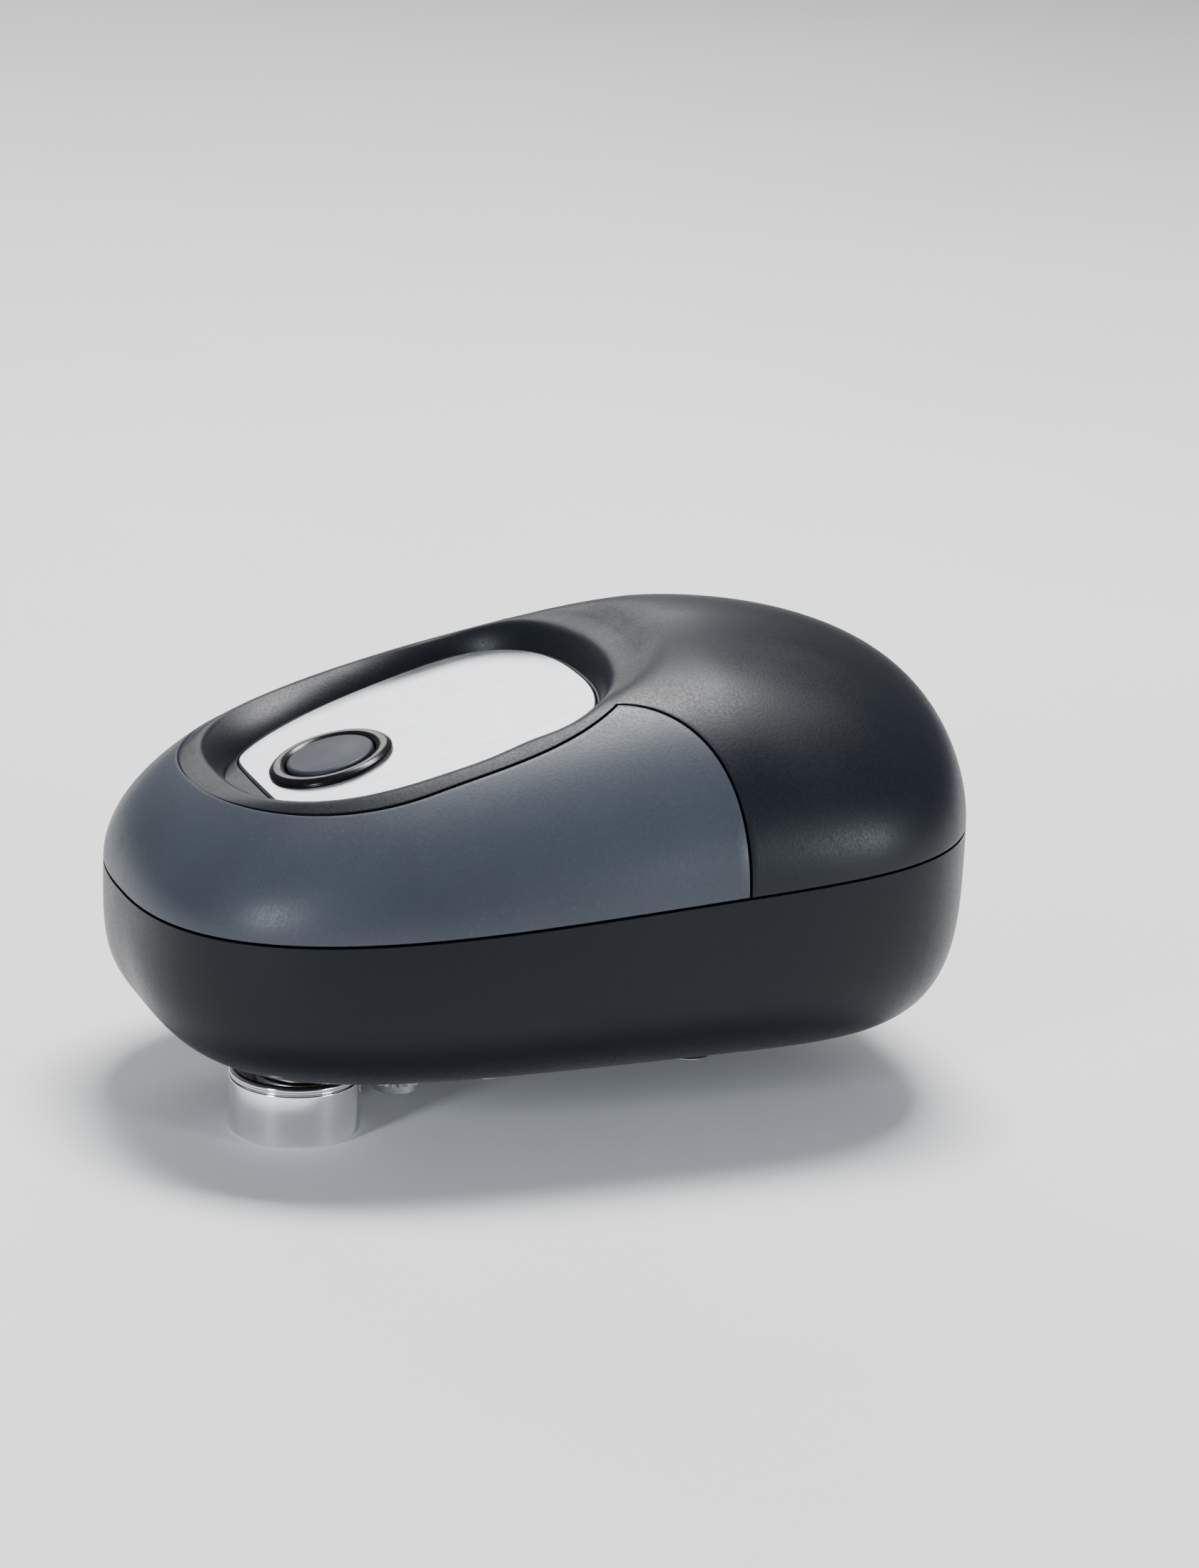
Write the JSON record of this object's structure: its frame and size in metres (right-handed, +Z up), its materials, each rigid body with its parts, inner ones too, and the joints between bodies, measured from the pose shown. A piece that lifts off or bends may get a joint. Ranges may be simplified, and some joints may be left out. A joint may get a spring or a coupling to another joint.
{
  "type": "electric can opener",
  "caption": "Battery can opener that sits on a tin: egg-shaped casing with a metal deck and start button, drive wheel and swinging cutter wheel below.",
  "frame": {"origin": "on the floor below the middle of the body, level with the cutter wheel's lowest point", "axes": "+X towards the tail, nose at -X; +Z up, out of the hump; +Y to the side away from the cutter wheel"},
  "size_m": [0.1201, 0.0802, 0.0672],
  "materials": {
    "soft_touch": "soft-touch satin, fine grain",
    "slate_cover": "satin slate blue-grey",
    "base_shell": "satin dark slate",
    "deck_steel": "brushed along its length",
    "ring_black": "high gloss",
    "button_slate": "satin gloss",
    "inner_plastic": "plain moulded",
    "gear_plastic": "natural acetal",
    "gear_steel": "sintered",
    "plate_steel": "zinc plated",
    "hard_steel": "polished",
    "bronze": "sintered bronze",
    "magnet": "dark sintered ferrite",
    "board": "glass fibre laminate",
    "cell_wrap": "printed foil wrap without lettering",
    "contact": "nickel plated"
  },
  "bodies": {
    "casing": {"base_casing": "base_shell", "front_cover": "slate_cover", "top_casing": "soft_touch", "casing_screws": "plate_steel", "top_plate": "deck_steel", "button_ring": "ring_black", "tact_switch": "ring_black", "switch_board": "board", "board_screws": "plate_steel", "chassis_plate": "plate_steel", "gearbox_plate": "plate_steel", "standoffs": "plate_steel", "gearbox_screws": "plate_steel", "gear_axles": "hard_steel", "motor_can": "plate_steel", "motor_end_cap": "inner_plastic", "motor_screws": "plate_steel", "drive_bush": "bronze", "carrier_bush": "bronze", "magnet_spring": "hard_steel", "aa_cell_1": "cell_wrap", "aa_cell_2": "cell_wrap", "aa_cell_3": "cell_wrap", "aa_cell_4": "cell_wrap", "contact_plates": "contact", "contact_springs": "contact"},
    "button": {"start_button": "button_slate", "switch_plunger": "inner_plastic"},
    "door": {"battery_door": "base_shell"},
    "drive": {"drive_shaft": "hard_steel", "drive_wheel": "hard_steel", "drive_screw": "plate_steel", "output_gear": "gear_steel", "carrier_pinion": "gear_steel"},
    "clutch": {"clutch_gear": "gear_steel"},
    "carrier": {"cutter_carrier": "gear_steel", "clutch_washer": "hard_steel", "clutch_clip": "hard_steel", "cutter_pin": "hard_steel"},
    "cutter": {"cutter_wheel": "hard_steel"},
    "gear_three": {"third_gear": "gear_plastic"},
    "gear_two": {"second_gear": "gear_plastic"},
    "gear_one": {"first_gear": "gear_plastic"},
    "rotor": {"motor_shaft": "hard_steel", "motor_pinion": "bronze"},
    "magnet": {"magnet_holder": "inner_plastic", "lid_magnet": "magnet"}
  },
  "joints": [
    {"name": "button_press", "type": "slide", "parent": "casing", "child": "button", "axis": [0.2756, 0, -0.9613], "range_m": [0, 0.0015], "stiffness_N_per_m": 400, "springref_m": -0.0008},
    {"name": "door_swing", "type": "hinge", "parent": "casing", "child": "door", "pos_m": [0.0221, 0, 0.0095], "axis": [0, 1, 0], "range_deg": [0, 80]},
    {"name": "drive_turn", "type": "hinge", "parent": "casing", "child": "drive", "pos_m": [-0.02168, -0.00688, 0], "axis": [0, 0, 1], "continuous": true},
    {"name": "clutch_turn", "type": "hinge", "parent": "casing", "child": "clutch", "pos_m": [-0.03709, -0.01249, 0], "axis": [0, 0, 1], "continuous": true},
    {"name": "cutter_engage", "type": "hinge", "parent": "casing", "child": "carrier", "pos_m": [-0.03709, -0.01249, 0], "axis": [0, 0, 1], "range_deg": [0, 180]},
    {"name": "cutter_spin", "type": "hinge", "parent": "carrier", "child": "cutter", "pos_m": [-0.0385, -0.013, 0], "axis": [0, 0, 1], "continuous": true},
    {"name": "third_turn", "type": "hinge", "parent": "casing", "child": "gear_three", "pos_m": [-0.00814, 0.00674, 0], "axis": [0, 0, 1], "continuous": true},
    {"name": "second_turn", "type": "hinge", "parent": "casing", "child": "gear_two", "pos_m": [-0.00201, -0.00629, 0], "axis": [0, 0, 1], "continuous": true},
    {"name": "first_turn", "type": "hinge", "parent": "casing", "child": "gear_one", "pos_m": [0.00958, -0.0094, 0], "axis": [0, 0, 1], "continuous": true},
    {"name": "motor_turn", "type": "hinge", "parent": "casing", "child": "rotor", "pos_m": [0.013, 0, 0], "axis": [0, 0, 1], "continuous": true},
    {"name": "magnet_lift", "type": "slide", "parent": "casing", "child": "magnet", "axis": [0, 0, 1], "range_m": [0, 0.002], "stiffness_N_per_m": 250, "springref_m": -0.002, "deforming": ["magnet_spring"]}
  ],
  "couplings": [
    {"joint": "clutch_turn", "follows": "drive_turn", "ratio": -0.86364},
    {"joint": "third_turn", "follows": "drive_turn", "ratio": -3},
    {"joint": "second_turn", "follows": "drive_turn", "ratio": 9},
    {"joint": "first_turn", "follows": "drive_turn", "ratio": -27},
    {"joint": "motor_turn", "follows": "drive_turn", "ratio": 108}
  ]
}
